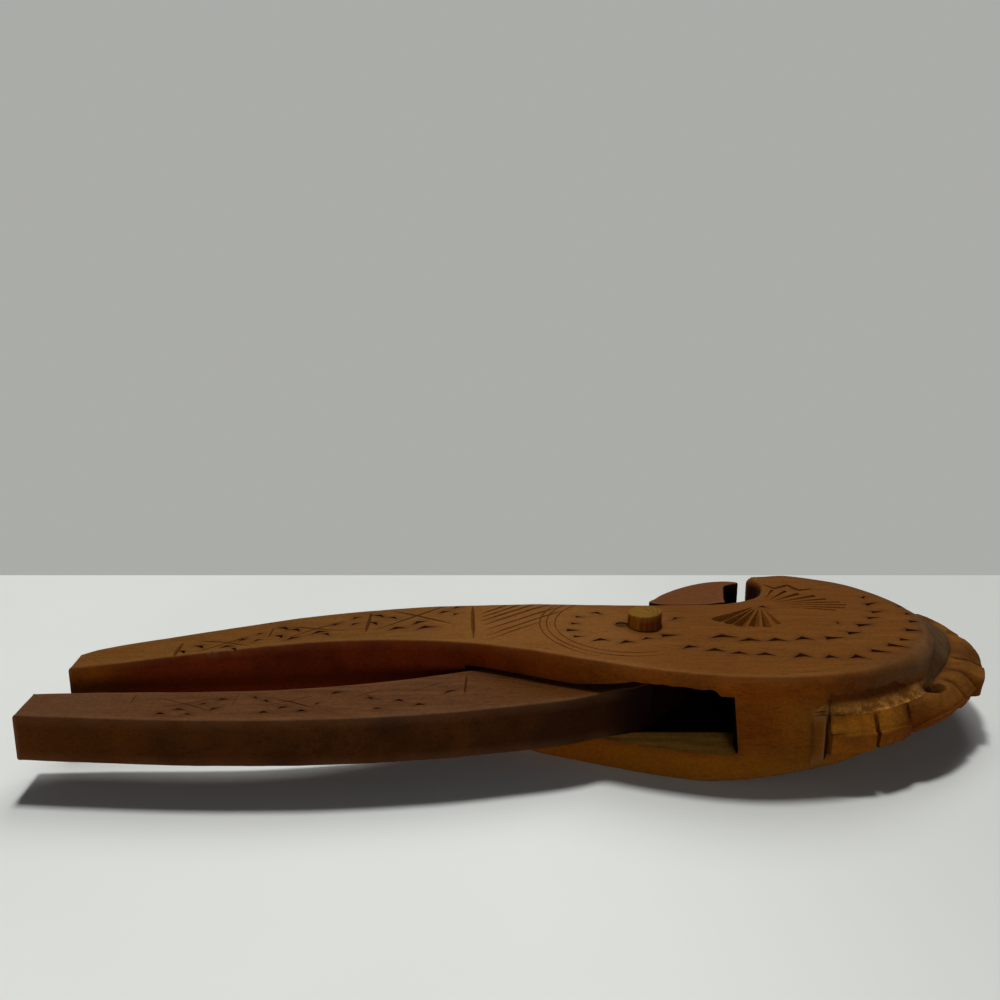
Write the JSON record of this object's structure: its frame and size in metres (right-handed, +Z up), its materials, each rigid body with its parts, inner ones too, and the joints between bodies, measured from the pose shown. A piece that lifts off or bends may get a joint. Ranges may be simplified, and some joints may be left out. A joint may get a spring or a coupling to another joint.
{
  "type": "lever nutcracker press",
  "caption": "Carved wooden nutcracker: a hooked round head on a handle, and a lever that passes through the head and turns on a wooden peg to press a nut against the hook.",
  "frame": {"origin": "under the middle of the whole, on the flat face that it lies on", "axes": "+X from the handles' ends towards the round head, +Y from the lever's handle towards the jaws, +Z up out of the face it lies on"},
  "size_m": [0.265, 0.0896, 0.035],
  "materials": {
    "body_wood": "oiled, worn",
    "lever_wood": "oiled, worn",
    "pin_wood": "raw, worn"
  },
  "bodies": {
    "frame": {"body": "body_wood", "pivot_pin": "pin_wood"},
    "lever": {"lever": "lever_wood"}
  },
  "joints": [
    {"name": "lever_pivot", "type": "hinge", "parent": "frame", "child": "lever", "pos_m": [0.03129, -0.00212, 0], "axis": [0, 0, 1], "range_deg": [-2.2, 44]}
  ]
}
